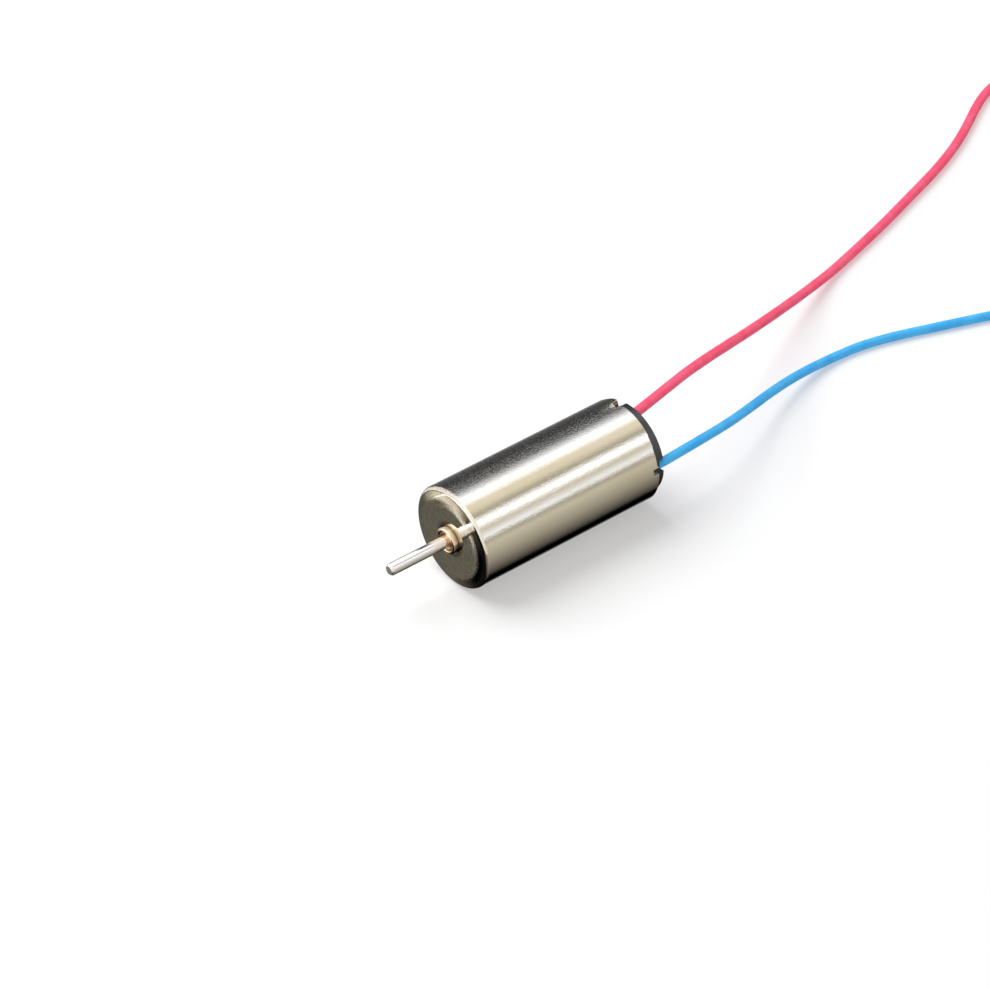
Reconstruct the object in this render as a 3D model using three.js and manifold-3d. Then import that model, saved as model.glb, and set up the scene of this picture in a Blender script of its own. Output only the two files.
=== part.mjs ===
// Miniature coreless DC motor, 7 mm can, with its two lead wires.
//
// Millimetres. The motor lies on its can with the shaft level: the axis runs along Y at
// z = CAN_R, the shaft comes out towards -Y, the black end cap and the leads are at +Y.
// The origin is under the middle of the motor (leads left out), on the surface it lies on.
//
// Along the axis, "a" is measured from the can's front face towards the rear.
// Round the axis, angles are in degrees from straight up (+Z) towards +X.

import * as THREE from "three";
import { mergeVertices } from "three/addons/utils/BufferGeometryUtils.js";
import Module from "manifold-3d";

const wasm = await Module();
wasm.setup();

// ---------- driving dimensions ----------
const CAN_R = 3.5;            // outside radius of the can
const CAN_LEN = 14.0;         // front face to rear rim
const CAN_WALL = 0.3;
const CAN_FRONT = 0.35;       // thickness of the closed front
const CAN_FILLET = 0.45;      // rounded front edge
const NOTCH_W = 0.48;         // keying notches in the rim
const NOTCH_DEPTH = 0.42;
const NOTCH_AT = [-8.5, 81.5, 171.5, 261.5];

const SHAFT_R = 0.4;
const SHAFT_OUT = 4.8;        // shaft tip in front of the face
const SHAFT_REAR = 13.9;

const TUBE_R = 0.9;           // bearing tube: carries the magnet and both bearings
const TUBE_BORE = 0.66;
const TUBE_OUT = 0.44;        // it stands proud of the face
const TUBE_REAR = 10.5;
const BEARING_R = 0.64;
const BEARING_BORE = 0.42;

const MAGNET_R = 2.35;
const COIL_R = 2.98;
const COIL_BORE = 2.5;

const CAP_R = 3.14;
const CAP_FRONT = 12.3;
const CAP_REAR = 14.7;        // stands 0.7 behind the rim
const CAP_WALL_FRONT = 13.4;  // front of the solid rear wall

const LEAD_RED = { r: 2.68, at: 2.5, wire: 0.33 };
const LEAD_BLUE = { r: 2.67, at: 84.8, wire: 0.31 };
const SLOT_AT = 82.5;         // open wire slot at the cap's edge, over the blue lead's passage
const SPARE_AT = -21;         // second, empty slot
const SLOT_W = 0.94;
const CORE_R = 0.12;          // stripped conductor
const TIP_R = 0.15;           // tinned end

const MIDDLE = (CAP_REAR - SHAFT_OUT) / 2; // a of the middle of the whole length

const N = 48;                 // facets round the can
const M = 32;                 // facets round small pieces

// ---------- shape helpers ----------
// A closed triangle mesh with shared corners, no collapsed triangles and its faces outward.
function weld(geometry) {
  const g = geometry.clone();
  for (const name of ["normal", "uv"]) if (g.getAttribute(name)) g.deleteAttribute(name);
  const merged = mergeVertices(g, 1e-4);
  const from = merged.index.array;
  const p = merged.attributes.position;
  const keep = [];
  let volume = 0;
  const [a, b, c] = [new THREE.Vector3(), new THREE.Vector3(), new THREE.Vector3()];
  for (let i = 0; i < from.length; i += 3) {
    const [i0, i1, i2] = [from[i], from[i + 1], from[i + 2]];
    if (i0 === i1 || i1 === i2 || i2 === i0) continue;
    keep.push(i0, i1, i2);
    a.fromBufferAttribute(p, i0);
    b.fromBufferAttribute(p, i1);
    c.fromBufferAttribute(p, i2);
    volume += a.dot(b.cross(c));
  }
  if (volume < 0) for (let i = 0; i < keep.length; i += 3) [keep[i + 1], keep[i + 2]] = [keep[i + 2], keep[i + 1]];
  const out = new THREE.BufferGeometry();
  out.setAttribute("position", new THREE.BufferAttribute(new Float32Array(p.array), 3));
  out.setIndex(keep);
  return out;
}

function toSolid(geometry) {
  const g = weld(geometry);
  return new wasm.Manifold(
    new wasm.Mesh({
      numProp: 3,
      vertProperties: new Float32Array(g.attributes.position.array),
      triVerts: new Uint32Array(g.index.array),
    })
  );
}

function toGeometry(solid) {
  const m = solid.getMesh();
  const out = new THREE.BufferGeometry();
  out.setAttribute("position", new THREE.BufferAttribute(new Float32Array(m.vertProperties), 3));
  out.setIndex(Array.from(m.triVerts));
  return out;
}

const cut = (geometry, tools) =>
  toGeometry(tools.reduce((body, tool) => body.subtract(toSolid(tool)), toSolid(geometry)));

// Turned piece: [radius, a] pairs round the section. The flats, not the corners, are at the
// stated radius, and one flat faces straight down.
function turned(section, facets = M, closed = true) {
  const grow = 1 / Math.cos(Math.PI / facets);
  const points = section.map(([r, a]) => new THREE.Vector2(r * grow, a));
  if (closed) points.push(points[0].clone());
  return weld(new THREE.LatheGeometry(points, facets, Math.PI / facets, 2 * Math.PI));
}

// Disc or plug that reaches the axis.
const plug = (section, facets = M) => turned([[0, section[0][1]], ...section, [0, section.at(-1)[1]]], facets, false);

const ring = (inner, outer, a0, a1, facets = M) => turned([[inner, a0], [outer, a0], [outer, a1], [inner, a1]], facets);

function arc(cx, cy, r, from, to, steps) {
  const out = [];
  for (let i = 0; i <= steps; i++) {
    const t = THREE.MathUtils.degToRad(from + ((to - from) * i) / steps);
    out.push([cx + r * Math.cos(t), cy + r * Math.sin(t)]);
  }
  return out;
}

// Box with its middle at radius r, angle "at" and height a; sizes are tangential, axial, radial.
function boxAt(r, at, a, tangential, axial, radial) {
  const g = new THREE.BoxGeometry(tangential, axial, radial);
  g.translate(0, a, r);
  g.rotateY(THREE.MathUtils.degToRad(at));
  return g;
}

function rodAt(r, at, a0, a1, radius, facets = 12) {
  const g = new THREE.CylinderGeometry(radius, radius, a1 - a0, facets);
  const t = THREE.MathUtils.degToRad(at);
  g.translate(r * Math.sin(t), (a0 + a1) / 2, r * Math.cos(t));
  return g;
}

// Flat piece drawn in (u, a) and given a thickness along the third direction. In the brush
// frame, u points at BRUSH_AT and the third direction, w, is a quarter turn further round.
const BRUSH_AT = 41.9;
function strip(outline, w0, w1) {
  const shape = new THREE.Shape(outline.map(([u, a]) => new THREE.Vector2(u, a)));
  const g = new THREE.ExtrudeGeometry(shape, { depth: w1 - w0, bevelEnabled: false });
  g.translate(0, 0, w0);                       // (u, a, w)
  g.rotateY(THREE.MathUtils.degToRad(BRUSH_AT - 90)); // u to the brush direction
  return g;
}

// Round lead along a smooth curve through the given points, in world millimetres.
function lead(points, radius, steps, sides = 8) {
  const section = new THREE.Shape();
  for (let i = 0; i < sides; i++) {
    const t = ((i + 0.5) / sides) * 2 * Math.PI;
    const [x, y] = [radius * Math.cos(t), radius * Math.sin(t)];
    if (i) section.lineTo(x, y);
    else section.moveTo(x, y);
  }
  section.closePath();
  const curve = new THREE.CatmullRomCurve3(points.map((p) => new THREE.Vector3(...p)));
  return new THREE.ExtrudeGeometry(section, { steps, extrudePath: curve, bevelEnabled: false });
}

// ---------- the assembly ----------
const motor = new THREE.Group();
const housing = new THREE.Group();
const rotor = new THREE.Group();
for (const g of [housing, rotor]) {
  g.position.set(0, -MIDDLE, CAN_R);
  motor.add(g);
}
const leads = new THREE.Group();
motor.add(leads);

function add(group, name, geometry, color, roughness, metalness) {
  const g = weld(geometry);
  g.computeVertexNormals();
  const mesh = new THREE.Mesh(g, new THREE.MeshStandardMaterial({ color, roughness, metalness }));
  mesh.name = name;
  group.add(mesh);
  return mesh;
}

// --- can: deep-drawn steel cup, closed front, open rear with four keying notches ---
{
  const f = CAN_FILLET;
  const section = [
    [TUBE_R + 0.03, 0],
    ...arc(CAN_R - f, f, f, -90, 0, 6),
    [CAN_R, CAN_LEN - 0.04],
    [CAN_R - 0.04, CAN_LEN],
    [CAN_R - CAN_WALL, CAN_LEN],
    ...arc(CAN_R - CAN_WALL - 0.2, CAN_FRONT + 0.2, 0.2, 0, -90, 3),
    [TUBE_R + 0.03, CAN_FRONT],
  ];
  const notches = NOTCH_AT.map((at) => boxAt(CAN_R - 0.15, at, CAN_LEN - NOTCH_DEPTH + 0.5, NOTCH_W, 1.0, 0.8));
  add(housing, "can", cut(turned(section, N), notches), 0xd9cdb8, 0.22, 1.0);
}

// --- bearing tube through the front hole, with a bearing pressed in each end ---
add(
  housing,
  "bearing_tube",
  turned([
    [TUBE_BORE, -TUBE_OUT + 0.05], [TUBE_BORE + 0.05, -TUBE_OUT], [TUBE_R - 0.09, -TUBE_OUT], [TUBE_R, -TUBE_OUT + 0.09],
    [TUBE_R, TUBE_REAR], [TUBE_BORE, TUBE_REAR],
  ]),
  0xe0c9a0, 0.25, 1.0
);
add(
  housing,
  "front_bearing",
  turned([
    [BEARING_BORE, -TUBE_OUT + 0.17], [BEARING_BORE + 0.1, -TUBE_OUT + 0.07], [BEARING_R - 0.04, -TUBE_OUT + 0.07], [BEARING_R, -TUBE_OUT + 0.11],
    [BEARING_R, 1.5], [BEARING_BORE, 1.5],
  ]),
  0xc98a55, 0.45, 1.0
);
add(
  housing,
  "rear_bearing",
  turned([
    [BEARING_BORE, 9.0], [BEARING_R, 9.0], [BEARING_R, TUBE_REAR], [BEARING_BORE + 0.1, TUBE_REAR], [BEARING_BORE, TUBE_REAR - 0.1],
  ]),
  0xc98a55, 0.45, 1.0
);
add(housing, "magnet_seat", ring(TUBE_R + 0.04, 1.9, CAN_FRONT + 0.03, 0.76), 0xc8a25c, 0.4, 1.0);
add(
  housing,
  "magnet",
  turned([
    [TUBE_R + 0.04, 0.8], [MAGNET_R - 0.12, 0.8], [MAGNET_R, 0.92], [MAGNET_R, 10.08], [MAGNET_R - 0.12, 10.2], [TUBE_R + 0.04, 10.2],
  ]),
  0x9a9da0, 0.3, 1.0
);

// --- end cap: black moulded brush holder, pressed in the can's open end ---
{
  const body = turned(
    [
      [2.82, CAP_FRONT], [CAP_R - 0.05, CAP_FRONT], [CAP_R, CAP_FRONT + 0.05],
      [CAP_R, CAP_REAR - 0.08], [CAP_R - 0.08, CAP_REAR],
      [0.95, CAP_REAR], [0.85, CAP_REAR - 0.12], [0.001, CAP_REAR - 0.12],
      [0.001, 14.13], [0.7, 14.13], [0.7, CAP_WALL_FRONT], [2.82, CAP_WALL_FRONT],
    ],
    N
  );
  const slot = boxAt(3.0, SLOT_AT, CAN_LEN + 1.0, SLOT_W, 2.0, 1.4);
  const spare = boxAt(3.0, SPARE_AT, 14.0, 0.98, 2.0, 1.1);
  const hole = rodAt(LEAD_RED.r, LEAD_RED.at, 13.0, 15.0, 0.365, 24);
  const passage = rodAt(LEAD_BLUE.r, LEAD_BLUE.at, 13.0, 14.5, 0.375, 24);
  // the axis was left open by a hair in the turning; close it before cutting
  const core = new THREE.CylinderGeometry(0.4, 0.4, CAP_REAR - 0.12 - 14.13, 24).translate(0, (CAP_REAR - 0.12 + 14.13) / 2, 0);
  const whole = toGeometry(toSolid(body).add(toSolid(core)));
  add(housing, "end_cap", cut(whole, [slot, spare, hole, passage]), 0x1b1c1e, 0.55, 0.0);
}
add(housing, "thrust_pad", plug([[0.6, 13.95], [0.6, 14.1]], 24), 0xe8e4da, 0.35, 0.0);

// --- brushes: two thin fingers each, held by a terminal tab at the edge of the cap ---
const brushOutline = [
  [-1.25, 12.16], [1.68, 12.16], [1.68, 13.0], [-1.25, 13.0], [-1.25, 12.64], [0.9, 12.64], [0.9, 12.52], [-1.25, 12.52],
];
add(housing, "brush_a", strip(brushOutline, -0.91, -0.85), 0xd8b060, 0.3, 1.0);
add(housing, "brush_b", strip(brushOutline, 0.85, 0.91), 0xd8b060, 0.3, 1.0);
const tabOutline = (u0, u1) => [[u0, 12.16], [u1, 12.16], [u1, 13.12], [u0, 13.12]];
add(housing, "terminal_a", strip(tabOutline(1.72, 1.86), -1.82, -0.82), 0xcfae6a, 0.35, 1.0);
add(housing, "terminal_b", strip(tabOutline(1.72, 1.86), 0.82, 1.82), 0xcfae6a, 0.35, 1.0);
const dab = (r, at) => new THREE.SphereGeometry(1, 12, 8).scale(0.2, 0.2, 0.13).translate(0, 12.93, r).rotateY(THREE.MathUtils.degToRad(at));
add(housing, "solder_a", dab(2.62, LEAD_RED.at + 2.0), 0xc9ccd0, 0.25, 1.0);
add(housing, "solder_b", dab(2.62, 79.25), 0xc9ccd0, 0.25, 1.0);
add(housing, "lead_core_red", rodAt(LEAD_RED.r, LEAD_RED.at, 13.16, 13.6, CORE_R), 0xd9d9dc, 0.3, 1.0);
add(housing, "lead_core_blue", rodAt(LEAD_BLUE.r, LEAD_BLUE.at, 13.16, 13.6, CORE_R), 0xd9d9dc, 0.3, 1.0);

// --- rotor: shaft, thrust washer, self-supporting winding on a moulded hub, commutator ---
add(
  rotor,
  "shaft",
  plug([[SHAFT_R - 0.1, -SHAFT_OUT], [SHAFT_R, -SHAFT_OUT + 0.14], [SHAFT_R, SHAFT_REAR - 0.08], [SHAFT_R - 0.08, SHAFT_REAR]]),
  0xe4e0dc, 0.15, 1.0
);
add(rotor, "thrust_washer", ring(SHAFT_R + 0.03, 0.86, 10.54, 10.72), 0xd8d0b8, 0.5, 0.0);
add(rotor, "coil_cup", ring(COIL_BORE, COIL_R, 1.1, 11.5, N), 0xb5652f, 0.35, 0.6);
add(
  rotor,
  "coil_hub",
  turned([
    [SHAFT_R + 0.02, 10.77], [1.2, 10.77], [1.2, 11.0], [COIL_BORE - 0.04, 11.0], [COIL_BORE - 0.04, 11.54],
    [COIL_R - 0.02, 11.54], [COIL_R - 0.02, 11.84], [SHAFT_R + 0.02, 11.84],
  ], N),
  0x2a2622, 0.5, 0.0
);
add(rotor, "commutator_core", ring(SHAFT_R + 0.02, 0.6, 11.87, 13.1), 0x3a2a20, 0.5, 0.0);
{
  // three segments cut from one turned blank by three radial saw cuts
  const blank = turned([[0.62, 11.9], [1.15, 11.9], [1.15, 12.04], [0.82, 12.04], [0.82, 13.1], [0.62, 13.1]], 36);
  for (let i = 0; i < 3; i++) {
    const sector = new THREE.Shape();
    const [from, to] = [i * 120 + 4, (i + 1) * 120 - 4].map(THREE.MathUtils.degToRad);
    sector.moveTo(0.02 * Math.cos((from + to) / 2), 0.02 * Math.sin((from + to) / 2));
    for (let k = 0; k <= 6; k++) {
      const t = from + ((to - from) * k) / 6;
      sector.lineTo(2 * Math.cos(t), 2 * Math.sin(t));
    }
    sector.closePath();
    const wedge = new THREE.ExtrudeGeometry(sector, { depth: 2, bevelEnabled: false }).rotateX(-Math.PI / 2).translate(0, 11.5, 0);
    add(rotor, `commutator_segment_${i + 1}`, toGeometry(toSolid(blank).intersect(toSolid(wedge))), 0xd4a94e, 0.3, 1.0);
  }
}
add(rotor, "commutator_ring", ring(0.44, 0.9, 13.13, 13.26), 0x3a2a20, 0.5, 0.0);
// winding taps: flat copper strips across the hub's rear face, one to each segment's riser
for (let i = 0; i < 3; i++) {
  const g = new THREE.BoxGeometry(0.22, 0.08, 1.6).translate(0, 11.93, 2.0);
  g.rotateY(THREE.MathUtils.degToRad(60 + i * 120 + 90));
  add(rotor, `coil_tap_${i + 1}`, g, 0xb5652f, 0.35, 1.0);
}

// --- leads: 60 mm free length each, laid on the surface, with 3 mm of tinned end ---
const RED_ROUTE = [
  [0.117, 8.670, 6.177],
  [0.117, 9.210, 6.178],
  [0.117, 9.750, 6.190],
  [0.071, 10.146, 6.223],
  [0.012, 10.590, 6.268],
  [-0.067, 11.132, 6.319],
  [-0.415, 13.014, 6.419],
  [-0.864, 14.875, 6.355],
  [-1.399, 16.691, 6.057],
  [-2.003, 18.454, 5.610],
  [-2.662, 20.173, 5.073],
  [-3.361, 21.856, 4.480],
  [-4.088, 23.520, 3.864],
  [-4.830, 25.177, 3.249],
  [-5.574, 26.838, 2.646],
  [-6.310, 28.512, 2.068],
  [-7.027, 30.206, 1.529],
  [-7.716, 31.931, 1.053],
  [-8.366, 33.692, 0.669],
  [-8.969, 35.494, 0.415],
  [-9.527, 37.326, 0.341],
  [-10.057, 39.168, 0.340],
  [-10.599, 41.008, 0.340],
  [-11.181, 42.834, 0.340],
  [-11.789, 44.653, 0.340],
  [-12.393, 46.472, 0.340],
  [-13.008, 48.288, 0.340],
  [-13.678, 50.084, 0.340],
  [-14.434, 51.846, 0.340],
  [-15.289, 53.562, 0.340],
  [-16.235, 55.229, 0.340],
  [-17.214, 56.878, 0.340],
  [-18.061, 58.595, 0.340],
  [-18.612, 60.430, 0.340],
  [-18.922, 62.321, 0.340],
];
const RED_TIP = [
  [-18.924, 62.341, 0.340],
  [-18.974, 63.084, 0.312],
  [-18.985, 63.829, 0.250],
  [-18.957, 64.573, 0.188],
  [-18.890, 65.315, 0.160],
];
const BLUE_ROUTE = [
  [2.660, 8.670, 3.740],
  [2.714, 9.216, 3.789],
  [2.800, 9.750, 3.900],
  [2.825, 10.148, 3.934],
  [2.838, 10.596, 3.975],
  [2.833, 11.145, 4.006],
  [2.661, 13.050, 3.942],
  [2.286, 14.907, 3.651],
  [1.760, 16.703, 3.240],
  [1.133, 18.453, 2.773],
  [0.460, 20.181, 2.283],
  [-0.204, 21.910, 1.790],
  [-0.811, 23.664, 1.310],
  [-1.307, 25.463, 0.871],
  [-1.635, 27.318, 0.520],
  [-1.727, 29.221, 0.335],
  [-1.544, 31.128, 0.320],
  [-1.119, 32.996, 0.320],
  [-0.532, 34.821, 0.320],
  [0.114, 36.626, 0.320],
  [0.757, 38.432, 0.320],
  [1.409, 40.235, 0.320],
  [2.050, 42.042, 0.320],
  [2.651, 43.863, 0.320],
  [3.208, 45.697, 0.320],
  [3.719, 47.545, 0.320],
  [4.181, 49.406, 0.320],
  [4.594, 51.278, 0.320],
  [4.957, 53.160, 0.320],
  [5.271, 55.052, 0.320],
  [5.534, 56.951, 0.320],
  [5.748, 58.856, 0.320],
  [5.911, 60.766, 0.320],
  [6.024, 62.680, 0.320],
  [6.087, 64.596, 0.320],
];
const BLUE_TIP = [
  [6.087, 64.616, 0.320],
  [6.098, 65.361, 0.295],
  [6.100, 66.106, 0.240],
  [6.096, 66.851, 0.185],
  [6.083, 67.596, 0.160],
];
add(leads, "lead_wire_red", lead(RED_ROUTE, LEAD_RED.wire, 38), 0xf0557d, 0.45, 0.0);
add(leads, "lead_wire_blue", lead(BLUE_ROUTE, LEAD_BLUE.wire, 38), 0x45a8e6, 0.45, 0.0);
add(leads, "lead_tip_red", lead(RED_TIP, TIP_R, 4), 0xd9d9dc, 0.3, 1.0);
add(leads, "lead_tip_blue", lead(BLUE_TIP, TIP_R, 4), 0xd9d9dc, 0.3, 1.0);

export default motor;
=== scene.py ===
import bpy
import math
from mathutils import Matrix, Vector


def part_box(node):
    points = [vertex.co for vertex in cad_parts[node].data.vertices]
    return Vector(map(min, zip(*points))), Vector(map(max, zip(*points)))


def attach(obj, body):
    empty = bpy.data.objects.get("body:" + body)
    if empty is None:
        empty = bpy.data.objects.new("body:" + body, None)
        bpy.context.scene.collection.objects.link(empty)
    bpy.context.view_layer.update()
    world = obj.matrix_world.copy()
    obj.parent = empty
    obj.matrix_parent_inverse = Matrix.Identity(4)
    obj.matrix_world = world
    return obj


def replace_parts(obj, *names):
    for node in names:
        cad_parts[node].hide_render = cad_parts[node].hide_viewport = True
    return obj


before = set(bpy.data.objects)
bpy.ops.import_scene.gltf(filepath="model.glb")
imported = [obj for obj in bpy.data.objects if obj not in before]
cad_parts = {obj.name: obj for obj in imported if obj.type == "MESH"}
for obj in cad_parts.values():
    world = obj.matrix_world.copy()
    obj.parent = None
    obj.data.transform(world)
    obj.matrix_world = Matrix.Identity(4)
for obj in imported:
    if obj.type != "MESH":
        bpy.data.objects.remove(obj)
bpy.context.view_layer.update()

MM = 0.001
AXIS_Z = 3.5          # height of the motor's axis, mm
FACE_Y = -4.95        # y of the can's front face, mm
SCENE = bpy.context.scene


def at(r, phi, a):
    """Point at radius r, angle phi (degrees from +Z towards +X) and distance a behind the front face, in metres."""
    t = math.radians(phi)
    return Vector((r * math.sin(t), FACE_Y + a, AXIS_Z + r * math.cos(t))) * MM


# ------------------------------------------------------------------ camera
AZ, EL = math.radians(51.37), math.radians(39.61)
cam_data = bpy.data.cameras.new("camera")
cam_data.sensor_width = 36.0
cam_data.lens = 145.4545
cam_data.clip_start = 0.001
cam_data.clip_end = 100.0
camera = bpy.data.objects.new("camera", cam_data)
SCENE.collection.objects.link(camera)
camera.location = Vector((149.166, -120.634, 163.232)) * MM
forward = Vector((-math.sin(AZ) * math.cos(EL), math.cos(AZ) * math.cos(EL), -math.sin(EL)))
camera.rotation_mode = "QUATERNION"
camera.rotation_quaternion = forward.to_track_quat("-Z", "Y")
SCENE.camera = camera

# ------------------------------------------------------------------ mesh helpers


def link(name, verts, faces, body, material, sharp=35.0):
    mesh = bpy.data.meshes.new(name)
    mesh.from_pydata([tuple(v) for v in verts], [], faces)
    mesh.validate()
    mesh.update()
    mesh.shade_smooth()
    mesh.set_sharp_from_angle(angle=math.radians(sharp))
    obj = bpy.data.objects.new(name, mesh)
    SCENE.collection.objects.link(obj)
    obj.data.materials.append(material)
    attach(obj, body)
    return obj


def rounded(points, closed=True, steps=5):
    """Section points (r, a) or (r, a, radius); a radius rounds that corner."""
    out, n = [], len(points)
    for i, p in enumerate(points):
        rad = p[2] if len(p) > 2 else 0
        if not rad or (not closed and i in (0, n - 1)):
            out.append((p[0], p[1]))
            continue
        q, s = points[i - 1], points[(i + 1) % n]
        u = Vector((q[0] - p[0], q[1] - p[1])).normalized()
        w = Vector((s[0] - p[0], s[1] - p[1])).normalized()
        half = math.acos(max(-1, min(1, u.dot(w)))) / 2
        d = rad / math.tan(half)
        c = Vector((p[0], p[1])) + (u + w).normalized() * (rad / math.sin(half))
        b0, b1 = Vector((p[0], p[1])) + u * d, Vector((p[0], p[1])) + w * d
        a0 = math.atan2(b0.y - c.y, b0.x - c.x)
        a1 = math.atan2(b1.y - c.y, b1.x - c.x)
        while a1 - a0 > math.pi:
            a1 -= 2 * math.pi
        while a1 - a0 < -math.pi:
            a1 += 2 * math.pi
        for k in range(steps + 1):
            t = a0 + (a1 - a0) * k / steps
            out.append((c.x + rad * math.cos(t), c.y + rad * math.sin(t)))
    return out


def supported(section, closed=True, near=0.015, least=0.12):
    """Adds a point close to each end of a long straight run, so that smooth shading keeps the run flat."""
    out, n = [], len(section)
    for i in range(n):
        p, q = section[i], section[(i + 1) % n]
        out.append(p)
        if i == n - 1 and not closed:
            break
        length = math.hypot(q[0] - p[0], q[1] - p[1])
        if length > least:
            for f in (near / length, 1 - near / length):
                out.append((p[0] + (q[0] - p[0]) * f, p[1] + (q[1] - p[1]) * f))
    return out


def turned(name, section, body, material, segments=128, closed=True, steps=5, sharp=35.0):
    """A turned piece from its section. closed is False where the section starts and ends on the axis."""
    pts = supported(rounded(section, closed, steps), closed)
    verts, faces, rows = [], [], []
    for r, a in pts:
        if r < 1e-6:
            rows.append([len(verts)])
            verts.append(at(0, 0, a))
        else:
            rows.append(list(range(len(verts), len(verts) + segments)))
            verts += [at(r, 360.0 * k / segments, a) for k in range(segments)]
    pairs = list(zip(rows, rows[1:])) + ([(rows[-1], rows[0])] if closed else [])
    for lower, upper in pairs:
        for k in range(segments):
            k1 = (k + 1) % segments
            if len(lower) == 1 and len(upper) == 1:
                continue
            if len(lower) == 1:
                faces.append((lower[0], upper[k1], upper[k]))
            elif len(upper) == 1:
                faces.append((lower[k], lower[k1], upper[0]))
            else:
                faces.append((lower[k], lower[k1], upper[k1], upper[k]))
    obj = link(name, verts, faces, body, material, sharp)
    face_out(obj)
    return obj


def face_out(obj):
    """Turns the faces outward by the sign of the volume."""
    mesh, volume = obj.data, 0.0
    mesh.calc_loop_triangles()
    for t in mesh.loop_triangles:
        a, b, c = (mesh.vertices[i].co for i in t.vertices)
        volume += a.dot(b.cross(c))
    if volume < 0:
        mesh.flip_normals()
    mesh.update()


def spline(points, per=6):
    """Smooth centreline through the points."""
    P = [Vector(p) for p in points]
    P = [P[0] * 2 - P[1]] + P + [P[-1] * 2 - P[-2]]
    out = []
    for i in range(1, len(P) - 2):
        p0, p1, p2, p3 = P[i - 1 : i + 3]
        d0, d1, d2 = (max(1e-9, (b - a).length) ** 0.5 for a, b in ((p0, p1), (p1, p2), (p2, p3)))
        m1 = (p2 - p1) + d1 * ((p1 - p0) / d0 - (p2 - p0) / (d0 + d1))
        m2 = (p2 - p1) + d1 * ((p3 - p2) / d2 - (p3 - p1) / (d1 + d2))
        for k in range(per):
            t = k / per
            out.append(
                p1 * (2 * t**3 - 3 * t**2 + 1) + m1 * (t**3 - 2 * t**2 + t)
                + p2 * (3 * t**2 - 2 * t**3) + m2 * (t**3 - t**2)
            )
    out.append(P[-2])
    return out


def frames(path):
    """A frame along the path that doesn't twist."""
    tangents = [
        (path[min(i + 1, len(path) - 1)] - path[max(i - 1, 0)]).normalized() for i in range(len(path))
    ]
    side = tangents[0].cross(Vector((0, 0, 1))).normalized()
    out = []
    for t in tangents:
        side = (side - t * side.dot(t)).normalized()
        out.append((t, side, t.cross(side)))
    return out


def tube(name, path, radius, sides, body, material, round_ends=(0.0, 0.0)):
    """Tube along a path in metres. radius(i, s, angle) is in metres; s is the length so far."""
    fr, s = frames(path), [0.0]
    for a, b in zip(path, path[1:]):
        s.append(s[-1] + (b - a).length)
    rings = []
    for i, p in enumerate(path):
        rings.append((p, fr[i], i, s[i], 1.0))
    first, last = [], []
    for side_index, size in enumerate(round_ends):
        if not size:
            continue
        i = 0 if side_index == 0 else len(path) - 1
        sign = -1 if side_index == 0 else 1
        extra = []
        for k in range(1, 5):
            t = k / 4 * math.pi / 2
            extra.append((path[i] + fr[i][0] * sign * size * math.sin(t), fr[i], i, s[i], -size * (1 - math.cos(t))))
        if side_index == 0:
            first = extra[::-1]
        else:
            last = extra
    verts, faces = [], []
    for p, (t, u, w), i, length, shrink in first + rings + last:
        for k in range(sides):
            a = 2 * math.pi * k / sides
            r = radius(i, length, a)
            if shrink != 1.0:
                r = r + shrink
            verts.append(p + (u * math.cos(a) + w * math.sin(a)) * r)
    count = len(verts) // sides
    for j in range(count - 1):
        for k in range(sides):
            k1 = (k + 1) % sides
            faces.append((j * sides + k, j * sides + k1, (j + 1) * sides + k1, (j + 1) * sides + k))
    faces.append(tuple(range(sides - 1, -1, -1)))
    faces.append(tuple((count - 1) * sides + k for k in range(sides)))
    obj = link(name, verts, faces, body, material, 40.0)
    face_out(obj)
    return obj


# ------------------------------------------------------------------ material helpers


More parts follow.
